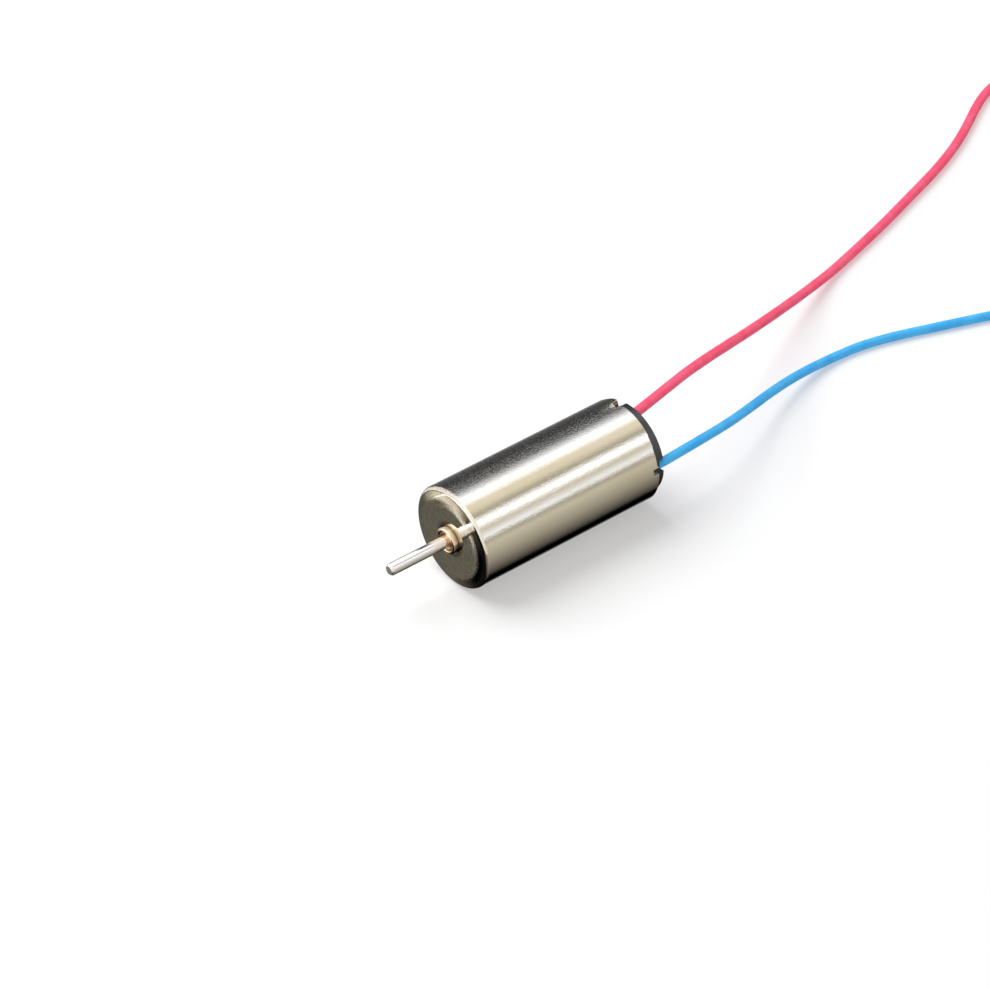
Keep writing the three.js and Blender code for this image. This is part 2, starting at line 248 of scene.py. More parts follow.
class Graph:
    """Short calls for building a node tree."""

    def __init__(self, tree):
        self.tree = tree
        self.tree.nodes.clear()

    def node(self, kind, inputs=None, **props):
        n = self.tree.nodes.new(kind)
        for k, v in props.items():
            setattr(n, k, v)
        for k, v in (inputs or {}).items():
            self.feed(n.inputs[k], v)
        return n

    def feed(self, socket, value):
        if isinstance(value, bpy.types.NodeSocket):
            self.tree.links.new(value, socket)
        elif isinstance(value, (tuple, list)) and len(value) == 3 and socket.type == "RGBA":
            socket.default_value = (*value, 1.0)
        else:
            socket.default_value = value

    def math(self, op, a, b=0.0, c=0.0, clamp=False):
        n = self.node("ShaderNodeMath", operation=op, use_clamp=clamp)
        self.feed(n.inputs[0], a)
        self.feed(n.inputs[1], b)
        self.feed(n.inputs[2], c)
        return n.outputs[0]

    def ramp(self, fac, stops, mode="LINEAR"):
        n = self.node("ShaderNodeValToRGB", {"Fac": fac})
        n.color_ramp.interpolation = mode
        e = n.color_ramp.elements
        while len(e) < len(stops):
            e.new(1.0)
        for k, (pos, col) in enumerate(stops):
            e[k].position = pos
            e[k].color = (*col, 1.0) if len(col) == 3 else col
        return n.outputs["Color"]

    def step(self, value, low, high, to_low=0.0, to_high=1.0):
        n = self.node(
            "ShaderNodeMapRange",
            {"Value": value, "From Min": low, "From Max": high, "To Min": to_low, "To Max": to_high},
            interpolation_type="SMOOTHSTEP",
        )
        return n.outputs["Result"]

    def mix(self, fac, a, b, blend="MIX"):
        n = self.node("ShaderNodeMix", data_type="RGBA", blend_type=blend)
        self.feed(n.inputs[0], fac)
        self.feed(n.inputs[6], a)
        self.feed(n.inputs[7], b)
        return n.outputs[2]

    def noise(self, vector, scale, detail=3.0, rough=0.55, distortion=0.0):
        n = self.node(
            "ShaderNodeTexNoise",
            {"Vector": vector, "Scale": scale, "Detail": detail, "Roughness": rough, "Distortion": distortion},
        )
        return n.outputs[0]

    def mapped(self, vector, scale=(1, 1, 1), location=(0, 0, 0)):
        n = self.node("ShaderNodeMapping", {"Vector": vector, "Scale": scale, "Location": location})
        return n.outputs[0]

    def bump(self, height, distance, strength=1.0, normal=None):
        n = self.node("ShaderNodeBump", {"Height": height, "Distance": distance, "Strength": strength})
        if normal is not None:
            self.feed(n.inputs["Normal"], normal)
        return n.outputs[0]


def srgb(r, g, b):
    return tuple(((c / 255) / 12.92 if c <= 10 else ((c / 255 + 0.055) / 1.055) ** 2.4) for c in (r, g, b))


def material(name, build):
    m = bpy.data.materials.new(name)
    m.use_nodes = True
    g = Graph(m.node_tree)
    g.mm = g.node("ShaderNodeMapping", {"Vector": g.node("ShaderNodeTexCoord").outputs["Object"], "Scale": (1000, 1000, 1000)}).outputs[0]
    bsdf = g.node("ShaderNodeBsdfPrincipled")
    out = g.node("ShaderNodeOutputMaterial", {"Surface": bsdf.outputs[0]})
    build(g, lambda **kw: [g.feed(bsdf.inputs[k.replace("_", " ")], v) for k, v in kw.items()])
    return m


def plated(base, warm, rough=(0.07, 0.16), grain=1.0, drawn=1.0, face=False):
    """Bright nickel plating on drawn steel: orange peel, faint draw lines along the axis, a warm cast that varies.
    face adds the scuffs that run round the can's front, which is smoother than the drawn side."""

    def build(g, put):
        fine = g.noise(g.mm, 10.0, 1.0, 0.5)
        specks = g.step(g.noise(g.mm, 9.5, 1.0, 0.5), 0.42, 0.6)
        peel = g.noise(g.mm, 2.6, 3.0, 0.6)
        lines = g.noise(g.mapped(g.mm, (4.0, 0.45, 4.0)), 1.0, 3.0, 0.6)
        tone = g.noise(g.mapped(g.mm, (0.35, 0.18, 0.35)), 1.0, 2.0, 0.5)
        colour = g.mix(g.step(tone, 0.35, 0.65), base, warm)
        stain = g.step(g.noise(g.mm, 2.1, 4.0, 0.65), 0.62, 0.78)
        colour = g.mix(g.math("MULTIPLY", stain, 0.25), colour, tuple(0.72 * c for c in warm))
        deep = 1.0
        if face:
            x, y, z = g.node("ShaderNodeSeparateXYZ", {"Vector": g.mm}).outputs
            front = g.step(y, FACE_Y + 0.02, FACE_Y + 0.2, 1.0, 0.0)
            up = g.math("SUBTRACT", z, AXIS_Z)
            out = g.math("SQRT", g.math("ADD", g.math("MULTIPLY", x, x), g.math("MULTIPLY", up, up)))
            round_it = g.node("ShaderNodeCombineXYZ", {"X": g.math("MULTIPLY", out, 5.0), "Y": g.math("MULTIPLY", g.math("ARCTAN2", x, up), 3.0)}).outputs[0]
            arcs = g.noise(round_it, 1.0, 5.0, 0.72, 1.6)
            dull = g.math("MULTIPLY", g.step(arcs, 0.48, 0.62), 0.62)
            colour = g.mix(g.math("MULTIPLY", dull, front), colour, tuple(0.55 * c for c in warm))
            worn = g.math("MULTIPLY", g.step(g.noise(g.mm, 5.5, 4.0, 0.7), 0.5, 0.66), 0.62)
            colour = g.mix(g.math("MULTIPLY", worn, front), colour, (1.0, 0.97, 0.9))
            deep = g.math("SUBTRACT", 1.0, g.math("MULTIPLY", front, 0.6))
            turn = g.math("MULTIPLY", g.math("ARCTAN2", x, up), 180 / math.pi)
            etched = g.math("MULTIPLY", g.step(turn, -58.0, -20.0), g.step(turn, -14.0, 14.0, 1.0, 0.0))
            etched = g.math("MULTIPLY", etched, g.math("SUBTRACT", 1.0, front))
            pits = g.step(g.noise(g.mapped(g.mm, (1, 1, 1), (7.0, 3.0, 5.0)), 9.0, 1.0, 0.5), 0.5, 0.57)
            colour = g.mix(g.math("MULTIPLY", pits, g.math("MULTIPLY", etched, 0.45)), colour, (0.10, 0.10, 0.09))
            # Painted shade: the front face darkens close round the bearing boss, a dark halo that stands in for the
            # boss's shade on the face.
            painted_boss_shade = g.step(g.math("ADD", out, g.math("MULTIPLY", arcs, 0.25)), 1.12, 1.5, 0.72, 0.0)
            colour = g.mix(g.math("MULTIPLY", painted_boss_shade, front), colour, (0.10, 0.07, 0.05))
        n = g.bump(lines, 2.2e-6 * drawn, deep)
        n = g.bump(peel, 2.6e-6 * grain, deep, n)
        n = g.bump(fine, 6.0e-6 * grain, deep, n)
        if face:
            n = g.bump(specks, 8.0e-6, etched, n)
        r = g.step(g.noise(g.mm, 1.3, 3.0), 0.3, 0.7, rough[0], rough[1])
        if face:
            r = g.math("MULTIPLY", r, g.math("SUBTRACT", 1.0, g.math("MULTIPLY", front, 0.5)))
        put(Base_Color=colour, Metallic=1.0, Roughness=r, Normal=n)

    return build


def turned_metal(base, shade, rough, ring=1.0, scale=9.0, metal=1.0):
    """Machined metal with fine turning marks round the axis and slight tarnish."""

    def build(g, put):
        marks = g.noise(g.mapped(g.mm, (0.6, 14.0, 0.6)), 1.0, 2.0, 0.6)
        mottle = g.noise(g.mm, scale, 4.0, 0.6)
        colour = g.mix(g.step(mottle, 0.4, 0.7), base, shade)
        n = g.bump(marks, 0.8e-6 * ring, 1.0)
        n = g.bump(mottle, 0.5e-6 * ring, 1.0, n)
        put(Base_Color=colour, Metallic=metal, Roughness=g.step(mottle, 0.3, 0.7, rough[0], rough[1]), Normal=n)

    return build


def moulded(base, worn, rough=(0.38, 0.52), grain=1.0, spec=0.5):
    """Moulded plastic: fine satin texture, faint flow marks."""

    def build(g, put):
        fine = g.noise(g.mm, 16.0, 2.0, 0.6)
        flow = g.noise(g.mm, 1.4, 3.0, 0.5)
        colour = g.mix(g.step(flow, 0.35, 0.7), base, worn)
        n = g.bump(fine, 1.6e-6 * grain, 1.0)
        put(
            Base_Color=colour, Metallic=0.0, Specular_IOR_Level=spec,
            Roughness=g.step(g.noise(g.mm, 5.0, 3.0), 0.3, 0.7, rough[0], rough[1]), Normal=n,
        )

    return build


def insulation(base, light, dark, rough=(0.34, 0.5)):
    """Soft coloured wire insulation: satin, faint lengthwise extrusion lines, slight scuffs."""

    def build(g, put):
        patch = g.noise(g.mm, 0.9, 3.0, 0.5)
        fine = g.noise(g.mm, 9.0, 3.0, 0.6)
        colour = g.mix(g.step(patch, 0.35, 0.65), base, light)
        colour = g.mix(g.math("MULTIPLY", g.step(fine, 0.5, 0.75), 0.35), colour, dark)
        n = g.bump(g.noise(g.mm, 2.2, 2.0), 2.0e-6, 1.0)
        n = g.bump(fine, 1.6e-6, 1.0, n)
        # Painted light: the insulation glows faintly in its own colour (emission 0.12), which lifts its shaded side.
        put(
            Base_Color=colour, Metallic=0.0, Roughness=g.step(fine, 0.3, 0.7, rough[0], rough[1]),
            Subsurface_Weight=0.12, Subsurface_Scale=0.0002, Emission_Color=colour, Emission_Strength=0.12, Normal=n,
        )

    return build


CAN = material("nickel_plating", plated((0.90, 0.85, 0.76), (0.88, 0.82, 0.71), rough=(0.03, 0.07), face=True))
TUBE = material("plated_brass_tube", turned_metal((0.95, 0.80, 0.60), (0.86, 0.66, 0.42), (0.10, 0.2)))
BRONZE = material("sintered_bronze", turned_metal((0.86, 0.52, 0.33), (0.62, 0.33, 0.18), (0.22, 0.4), 2.0, 14.0))
STEEL = material("ground_shaft_steel", turned_metal((0.95, 0.92, 0.91), (0.92, 0.88, 0.88), (0.13, 0.22), 0.8, 5.0, 0.93))
BLACK = material("black_moulding", moulded((0.009, 0.011, 0.013), (0.015, 0.018, 0.020), (0.3, 0.42), 1.0, 1.0))
HUB = material("dark_hub_moulding", moulded((0.030, 0.024, 0.020), (0.045, 0.034, 0.026)))
PAD = material("thrust_pad_plastic", moulded((0.80, 0.78, 0.70), (0.70, 0.67, 0.58), (0.3, 0.45)))
WASHER = material("thrust_washer_plastic", moulded((0.62, 0.55, 0.38), (0.50, 0.43, 0.28), (0.35, 0.5)))
MAGNET = material("magnet_nickel", plated((0.66, 0.66, 0.67), (0.58, 0.59, 0.61), (0.2, 0.34), 0.35, 0.1))
BRASS = material("seat_brass", turned_metal((0.86, 0.68, 0.36), (0.70, 0.50, 0.24), (0.2, 0.36), 1.5))
CONTACT = material("gold_flashed_contact", turned_metal((0.90, 0.72, 0.40), (0.78, 0.58, 0.30), (0.16, 0.3), 1.0, 6.0))
SOLDER = material("solder", turned_metal((0.80, 0.81, 0.82), (0.62, 0.63, 0.64), (0.15, 0.35), 1.5, 12.0))
TINNED = material("tinned_strands", turned_metal((0.84, 0.83, 0.80), (0.66, 0.62, 0.56), (0.2, 0.35), 1.2, 10.0))
RED = material("red_insulation", insulation(srgb(251, 80, 114), srgb(253, 96, 128), srgb(242, 64, 98)))
BLUE = material("blue_insulation", insulation(srgb(54, 170, 236), srgb(70, 182, 241), srgb(42, 152, 220)))


def winding(g, put):
    """Self-supporting skewed winding: enamelled copper wires side by side, leaning 35 degrees, under a coat of varnish."""
    x, y, z = g.node("ShaderNodeSeparateXYZ", {"Vector": g.mm}).outputs
    angle = g.math("ARCTAN2", x, g.math("SUBTRACT", z, AXIS_Z))
    wave = g.math("ADD", g.math("MULTIPLY", angle, 110.0), g.math("MULTIPLY", y, 28.0))
    height = g.math("ABSOLUTE", g.math("COSINE", wave))
    tint = g.noise(g.mm, 1.2, 3.0)
    # Painted shade: the colour turns dark brown in the grooves between the wires, where the height is low.
    colour = g.mix(height, (0.20, 0.055, 0.018), g.mix(tint, (0.72, 0.30, 0.12), (0.82, 0.40, 0.18)))
    put(Base_Color=colour, Metallic=0.85, Roughness=0.28, Coat_Weight=0.5, Coat_Roughness=0.12, Normal=g.bump(height, 1.5e-5, 1.0))


WINDING = material("enamelled_winding", winding)

# ------------------------------------------------------------------ leads
RED_ROUTE = [
    (0.117, 8.670, 6.177), (0.117, 9.210, 6.178), (0.117, 9.750, 6.190), (0.071, 10.146, 6.223),
    (0.012, 10.590, 6.268), (-0.067, 11.132, 6.319), (-0.415, 13.014, 6.419), (-0.864, 14.875, 6.355),
    (-1.399, 16.691, 6.057), (-2.003, 18.454, 5.610), (-2.662, 20.173, 5.073), (-3.361, 21.856, 4.480),
    (-4.088, 23.520, 3.864), (-4.830, 25.177, 3.249), (-5.574, 26.838, 2.646), (-6.310, 28.512, 2.068),
    (-7.027, 30.206, 1.529), (-7.716, 31.931, 1.053), (-8.366, 33.692, 0.669), (-8.969, 35.494, 0.415),
    (-9.527, 37.326, 0.341), (-10.057, 39.168, 0.340), (-10.599, 41.008, 0.340), (-11.181, 42.834, 0.340),
    (-11.789, 44.653, 0.340), (-12.393, 46.472, 0.340), (-13.008, 48.288, 0.340), (-13.678, 50.084, 0.340),
    (-14.434, 51.846, 0.340), (-15.289, 53.562, 0.340), (-16.235, 55.229, 0.340), (-17.214, 56.878, 0.340),
    (-18.061, 58.595, 0.340), (-18.612, 60.430, 0.340), (-18.922, 62.321, 0.340),
]
RED_TIP = [
    (-18.924, 62.341, 0.340), (-18.974, 63.084, 0.312), (-18.985, 63.829, 0.250), (-18.957, 64.573, 0.188),
    (-18.890, 65.315, 0.160),
]
BLUE_ROUTE = [
    (2.660, 8.670, 3.740), (2.714, 9.216, 3.789), (2.800, 9.750, 3.900), (2.825, 10.148, 3.934),
    (2.838, 10.596, 3.975), (2.833, 11.145, 4.006), (2.661, 13.050, 3.942), (2.286, 14.907, 3.651),
    (1.760, 16.703, 3.240), (1.133, 18.453, 2.773), (0.460, 20.181, 2.283), (-0.204, 21.910, 1.790),
    (-0.811, 23.664, 1.310), (-1.307, 25.463, 0.871), (-1.635, 27.318, 0.520), (-1.727, 29.221, 0.335),
    (-1.544, 31.128, 0.320), (-1.119, 32.996, 0.320), (-0.532, 34.821, 0.320), (0.114, 36.626, 0.320),
    (0.757, 38.432, 0.320), (1.409, 40.235, 0.320), (2.050, 42.042, 0.320), (2.651, 43.863, 0.320),
    (3.208, 45.697, 0.320), (3.719, 47.545, 0.320), (4.181, 49.406, 0.320), (4.594, 51.278, 0.320),
    (4.957, 53.160, 0.320), (5.271, 55.052, 0.320), (5.534, 56.951, 0.320), (5.748, 58.856, 0.320),
    (5.911, 60.766, 0.320), (6.024, 62.680, 0.320), (6.087, 64.596, 0.320),
]
BLUE_TIP = [
    (6.087, 64.616, 0.320), (6.098, 65.361, 0.295), (6.100, 66.106, 0.240), (6.096, 66.851, 0.185),
    (6.083, 67.596, 0.160),
]


def metres(points):
    return [Vector(p) * MM for p in points]


def lead(colour, route, tip_route, radius, mat):
    path = spline(metres(route), 7)

    def r(i, s, a):
        s *= 1000
        return radius * MM * (1 + 0.005 * math.sin(1.7 * s + radius) + 0.003 * math.sin(4.1 * s + 2 * a))

    wire = tube("lead_" + colour, path, r, 24, "housing", mat, (0.0, 0.03 * MM))
    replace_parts(wire, "lead_wire_" + colour)

    start = path[-1] - (path[-1] - path[-2]).normalized() * 0.25 * MM
    tip_path = spline([start] + metres(tip_route), 12)

    def strands(i, s, a):
        lobe = abs(math.cos(3.5 * (a - 2 * math.pi * s / 0.0026)))
        end = min(1.0, max(0.0, (tip_total - s) / (0.12 * MM)))
        return (0.118 + 0.026 * lobe**0.7) * MM * (0.86 + 0.14 * end)

    tip_total = sum((b - a).length for a, b in zip(tip_path, tip_path[1:]))
    tip = tube("lead_" + colour + "_tinned_end", tip_path, strands, 56, "housing", TINNED, (0.0, 0.03 * MM))
    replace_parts(tip, "lead_tip_" + colour)
    return wire


red_lead = lead("red", RED_ROUTE, RED_TIP, 0.33, RED)
blue_lead = lead("blue", BLUE_ROUTE, BLUE_TIP, 0.31, BLUE)

# ------------------------------------------------------------------ can
CAN_R, CAN_LEN, WALL, FRONT = 3.5, 14.0, 0.3, 0.35
NOTCH_W, NOTCH_D, NOTCHES = 0.48, 0.42, (-8.5, 81.5, 171.5, 261.5)
NOTCH_HALF = math.degrees(NOTCH_W / 2 / CAN_R)


def rim_at(phi):
    """Where the rim lies at this angle: the notches, with rounded corners, and the small steps left by the trimming die."""
    a = CAN_LEN
    for centre in NOTCHES:
        d = abs((phi - centre + 180) % 360 - 180) - NOTCH_HALF
        mm = math.radians(d) * CAN_R
        if mm <= -0.075:
            return CAN_LEN - NOTCH_D
        if mm <= 0.0:
            x = (mm + 0.075) / 0.075
            return CAN_LEN - NOTCH_D + 0.075 * (1 - math.sqrt(max(0.0, 1 - x * x)))
        if mm <= 0.03:
            x = 1 - mm / 0.03
            a = min(a, CAN_LEN - 0.03 * (1 - math.sqrt(max(0.0, 1 - x * x))))
    p = (phi + 360) % 360
    for start, stop, drop in ((41.5, 54.0, 0.045), (54.0, 76.0, 0.085), (118.0, 139.0, 0.02), (205.0, 233.0, 0.03), (300.0, 326.0, 0.02)):
        if start <= p < stop:
            a -= drop
    return a


def can_angles():
    phis = {round(360.0 * k / 360, 4) for k in range(360)}
    deg = math.degrees(1 / CAN_R)
    for centre in NOTCHES:
        for side in (-1, 1):
            edge = centre + side * NOTCH_HALF
            phis = {p for p in phis if abs((p - edge + 180) % 360 - 180) > 1.35}
            for mm in (-0.075, -0.06, -0.04, -0.02, -0.008, -0.002, 0.0, 0.0015, 0.006, 0.014, 0.03, 0.05):
                phis.add(round((edge + side * mm * deg) % 360, 4))
    for p in (41.5, 54.0, 76.0, 118.0, 139.0, 205.0, 233.0, 300.0, 326.0):
        phis = {q for q in phis if abs(q - p) > 0.4}
        phis |= {round(p - 0.25, 4), round(p - 0.02, 4), round(p + 0.02, 4), round(p + 0.25, 4)}
    return sorted(phis)


def face_profile():
    """Front of the can from the middle outwards: flat, a shallow roll, then the fillet into the side."""
    out, r, a = [(0.93, -0.005), (0.935, -0.026), (0.96, -0.035), (0.99, -0.035), (1.4, -0.035), (2.0, -0.035)], 2.35, -0.035
    while r < 3.2:
        out.append((r, a))
        lean = 2.3 + 3.2 * (r - 2.35) / 0.5 if r < 2.85 else 5.5 + (r - 2.85) / 0.35
        r, a = r + 0.05, a + 0.05 * math.tan(math.radians(lean + 0.25))
    first = math.radians(6.5)
    rho = (CAN_R - r) / (1 - math.sin(first))
    for k in range(17):
        t = first + (math.pi / 2 - first) * k / 16
        out.append((CAN_R - rho * (1 - math.sin(t)), a + rho * (math.cos(first) - math.cos(t))))
    return out + [(CAN_R, a + rho * math.cos(first) + 0.04)]


def flare(phi, a):
    """Lip beside the top notch, pushed outward when the notch was closed up with a tool, in mm."""
    if phi > 180:
        phi -= 360
    if a <= 12.4 or not -70.0 < phi < 3.0:
        return 0.0
    width = 14.0 if phi < -12.4 else 3.6
    return 0.2 * math.exp(-(((phi + 12.4) / width) ** 2)) * ((a - 12.4) / 1.6) ** 2


def build_can():
    rows_up = (12.0, 12.4, 12.7, 13.0, 13.2, 13.4)
    inside = supported(rounded([(0.93, -0.005), (0.93, FRONT), (CAN_R - WALL, FRONT, 0.2), (CAN_R - WALL, 12.0)], False, 10), False, 0.03)
    fixed = [(CAN_R, a) for a in rows_up[::-1]] + face_profile()[::-1] + inside[1:-1] + [(CAN_R - WALL, a) for a in rows_up]
    bevel = 0.045
    top = []
    for k in range(6):
        t = k / 5 * math.pi / 2
        top.append((CAN_R - WALL + bevel * (1 - math.cos(t)), -bevel * (1 - math.sin(t))))
    for k in range(6):
        t = math.pi / 2 - k / 5 * math.pi / 2
        top.append((CAN_R - bevel * (1 - math.cos(t)), -bevel * (1 - math.sin(t))))
    phis, verts, faces = can_angles(), [], []
    n = len(phis)
    for r, a in fixed:
        verts += [at(r + flare(p, a), p, a) for p in phis]
    for r, drop in [(CAN_R - WALL, -0.08)] + top + [(CAN_R, -0.08)]:
        verts += [at(r + flare(p, rim_at(p) + drop), p, rim_at(p) + drop) for p in phis]
    rows = len(verts) // n
    for j in range(rows):
        j1 = (j + 1) % rows
        for k in range(n):
            k1 = (k + 1) % n
            faces.append((j * n + k, j * n + k1, j1 * n + k1, j1 * n + k))
    can = link("can_shell", verts, faces, "housing", CAN, 50.0)
    face_out(can)
    return can


can_shell = build_can()
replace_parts(can_shell, "can")

# ------------------------------------------------------------------ front boss and shaft
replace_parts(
    turned(
        "bearing_tube_plated",
        [(0.66, -0.44, 0.07), (0.9, -0.44, 0.13), (0.9, 10.5, 0.03), (0.66, 10.5, 0.03)],
        "housing", TUBE, 128, steps=8,
    ),
    "bearing_tube",
)
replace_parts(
    turned(
        "front_bush",
        [(0.42, -0.27, 0.02), (0.52, -0.37, 0.03), (0.64, -0.37, 0.03), (0.64, 1.5, 0.02), (0.42, 1.5, 0.02)],
        "housing", BRONZE, 96, steps=4,
    ),
    "front_bearing",
)
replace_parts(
    turned("rear_bush", [(0.42, 9.0, 0.02), (0.64, 9.0, 0.02), (0.64, 10.5, 0.03), (0.52, 10.5, 0.02), (0.42, 10.4, 0.02)], "housing", BRONZE, 96, steps=4),
    "rear_bearing",
)
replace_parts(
    turned(
        "motor_shaft",
        [(0.0, -4.8), (0.3, -4.8, 0.025), (0.4, -4.66, 0.04), (0.4, 13.82, 0.03), (0.32, 13.9, 0.02), (0.0, 13.9)],
        "rotor", STEEL, 96, closed=False, steps=5,
    ),
    "shaft",
)

# ------------------------------------------------------------------ end cap


def apply_modifiers(obj):
    graph = bpy.context.evaluated_depsgraph_get()
    mesh = bpy.data.meshes.new_from_object(obj.evaluated_get(graph))
    old = obj.data
    obj.modifiers.clear()
    obj.data = mesh
    mesh.name = old.name + "_cut"
    return obj


def cutter(name, verts, faces):
    mesh = bpy.data.meshes.new(name)
    mesh.from_pydata([tuple(v) for v in verts], [], faces)
    mesh.update()
    obj = bpy.data.objects.new(name, mesh)
    SCENE.collection.objects.link(obj)
    face_out(obj)
    return obj


def box_cutter(r0, r1, phi, width, a0, a1):
    t = math.radians(phi)
    u, w = Vector((math.sin(t), 0, math.cos(t))), Vector((math.cos(t), 0, -math.sin(t)))
    verts = []
    for a in (a0, a1):
        for r, s in ((r0, -1), (r1, -1), (r1, 1), (r0, 1)):
            verts.append((u * r + w * (s * width / 2) + Vector((0, FACE_Y + a, AXIS_Z))) * MM)
    return cutter("cut", verts, [(0, 1, 2, 3), (7, 6, 5, 4), (0, 4, 5, 1), (1, 5, 6, 2), (2, 6, 7, 3), (3, 7, 4, 0)])


def rod_cutter(r, phi, radius, a0, a1, n=40):
    c = at(r, phi, 0)
    verts = []
    for a in (a0, a1):
        for k in range(n):
            t = 2 * math.pi * k / n
            verts.append(Vector((c.x + radius * MM * math.cos(t), (FACE_Y + a) * MM, c.z + radius * MM * math.sin(t))))
    faces = [(k, (k + 1) % n, n + (k + 1) % n, n + k) for k in range(n)]
    return cutter("cut", verts, faces + [tuple(range(n - 1, -1, -1)), tuple(range(n, 2 * n))])


def build_cap():
    cap = turned(
        "end_cap_moulding",
        [
            (0.0, 14.13), (0.7, 14.13, 0.03), (0.7, 13.4, 0.03), (2.82, 13.4, 0.04), (2.82, 12.3, 0.03), (3.14, 12.3, 0.04),
            (3.14, 14.7, 0.09), (2.38, 14.7, 0.02), (2.34, 14.655, 0.015), (2.22, 14.655, 0.015), (2.18, 14.7, 0.02),
            (0.97, 14.7, 0.04), (0.86, 14.58, 0.04), (0.24, 14.58, 0.02), (0.2, 14.54, 0.015), (0.0, 14.54),
        ],
        "housing", BLACK, 192, closed=False, steps=5,
    )
    cuts = [
        box_cutter(2.3, 3.7, 82.5, 0.94, 14.32, 16.0),
        box_cutter(2.45, 3.55, -21.0, 0.98, 13.0, 15.0),
        rod_cutter(2.68, 2.5, 0.365, 13.0, 15.0),
        rod_cutter(2.68, 84.8, 0.375, 13.0, 14.5),
        rod_cutter(1.55, 128.0, 0.16, 14.64, 15.0, 28),
        rod_cutter(1.55, 308.0, 0.16, 14.64, 15.0, 28),
    ]
    for c in cuts:
        m = cap.modifiers.new("cut", "BOOLEAN")
        m.operation, m.solver, m.object = "DIFFERENCE", "EXACT", c
    b = cap.modifiers.new("edge", "BEVEL")
    b.width, b.segments, b.limit_method, b.angle_limit = 0.025 * MM, 2, "ANGLE", math.radians(60)
    b.use_clamp_overlap = True
    apply_modifiers(cap)
    for c in cuts:
        bpy.data.objects.remove(c)
    cap.data.shade_smooth()
    cap.data.set_sharp_from_angle(angle=math.radians(38))
    if not cap.data.materials:
        cap.data.materials.append(BLACK)
    return cap


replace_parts(build_cap(), "end_cap")

# ------------------------------------------------------------------ inside the can


def sector(name, section, start, stop, body, mat, steps=36):
    """Turned section swept over part of a turn, closed at both ends."""
    pts, verts, faces = rounded(section, True, 3), [], []
    n = len(pts)
    for k in range(steps + 1):
        p = start + (stop - start) * k / steps
        verts += [at(r, p, a) for r, a in pts]
    for k in range(steps):
        for j in range(n):
            j1 = (j + 1) % n
            faces.append((k * n + j, k * n + j1, (k + 1) * n + j1, (k + 1) * n + j))
    faces += [tuple(range(n - 1, -1, -1)), tuple(steps * n + j for j in range(n))]
    obj = link(name, verts, faces, body, mat, 30.0)
    face_out(obj)
    return obj


INNER = (
    ("magnet_seat_ring", "magnet_seat", [(0.94, 0.38, 0.02), (1.9, 0.38, 0.04), (1.9, 0.76, 0.04), (0.94, 0.76, 0.02)], "housing", "brass_washer", BRASS),
    ("magnet_core", "magnet", [(0.94, 0.8, 0.03), (2.35, 0.8, 0.12), (2.35, 10.2, 0.12), (0.94, 10.2, 0.03)], "housing", "magnet_plating", MAGNET),
    ("thrust_washer_ring", "thrust_washer", [(0.43, 10.54, 0.02), (0.86, 10.54, 0.04), (0.86, 10.72, 0.04), (0.43, 10.72, 0.02)], "rotor", "pad_plastic", WASHER),
    ("winding_cup", "coil_cup", [(2.5, 1.1, 0.1), (2.98, 1.1, 0.16), (2.98, 11.5, 0.06), (2.5, 11.5, 0.06)], "rotor", "winding", WINDING),
    (
        "winding_hub", "coil_hub",
        [(0.42, 10.77, 0.02), (1.2, 10.77, 0.04), (1.2, 11.0, 0.03), (2.46, 11.0, 0.03), (2.46, 11.54, 0.02), (2.96, 11.54, 0.03), (2.96, 11.84, 0.05), (0.42, 11.84, 0.02)],
        "rotor", "dark_moulding", HUB,
    ),
    ("commutator_sleeve", "commutator_core", [(0.42, 11.87, 0.01), (0.6, 11.87, 0.01), (0.6, 13.1, 0.01), (0.42, 13.1, 0.01)], "rotor", "dark_moulding", HUB),
    ("commutator_end_ring", "commutator_ring", [(0.44, 13.13, 0.01), (0.9, 13.13, 0.03), (0.9, 13.26, 0.03), (0.44, 13.26, 0.01)], "rotor", "dark_moulding", HUB),
)
for new, node, section, body, slot, mat in INNER:
    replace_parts(turned(new, section, body, mat, 144), node)
for k in range(3):
    lo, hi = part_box(f"commutator_segment_{k + 1}")
    mid = (lo + hi) / 2 / MM
    facing = math.degrees(math.atan2(mid.x, mid.z - AXIS_Z))
    seg = sector(
        f"commutator_bar_{k + 1}",
        [(0.62, 11.9, 0.01), (1.15, 11.9, 0.02), (1.15, 12.04, 0.02), (0.82, 12.04, 0.03), (0.82, 13.1, 0.02), (0.62, 13.1, 0.01)],
        facing - 55.5, facing + 55.5, "rotor", CONTACT,
    )
    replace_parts(seg, f"commutator_segment_{k + 1}")
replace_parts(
    turned("thrust_pad_disc", [(0.0, 13.95), (0.6, 13.95, 0.03), (0.6, 14.1, 0.03), (0.0, 14.1)], "housing", PAD, 96, closed=False),
    "thrust_pad",
)

CARRIED = {
    "brush_a": CONTACT, "brush_b": CONTACT, "terminal_a": CONTACT, "terminal_b": CONTACT,
    "solder_a": SOLDER, "solder_b": SOLDER, "lead_core_red": TINNED, "lead_core_blue": TINNED,
    "coil_tap_1": BRONZE, "coil_tap_2": BRONZE, "coil_tap_3": BRONZE,
}
for node, mat in CARRIED.items():
    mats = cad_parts[node].data.materials
    for i in range(len(mats)):
        mats[i] = mat
    if not len(mats):
        mats.append(mat)

# ------------------------------------------------------------------ floor and light


def flat_floor(g, put):
    tone = g.noise(g.mm, 0.02, 2.0)
    put(
        Base_Color=g.mix(tone, (0.60, 0.60, 0.60), (0.605, 0.605, 0.605)), Roughness=1.0, Specular_IOR_Level=0.0,
        Emission_Color=(1.0, 1.0, 1.0), Emission_Strength=0.35,
        Normal=g.bump(g.noise(g.mm, 0.5, 2.0), 1e-6, 0.2),
    )


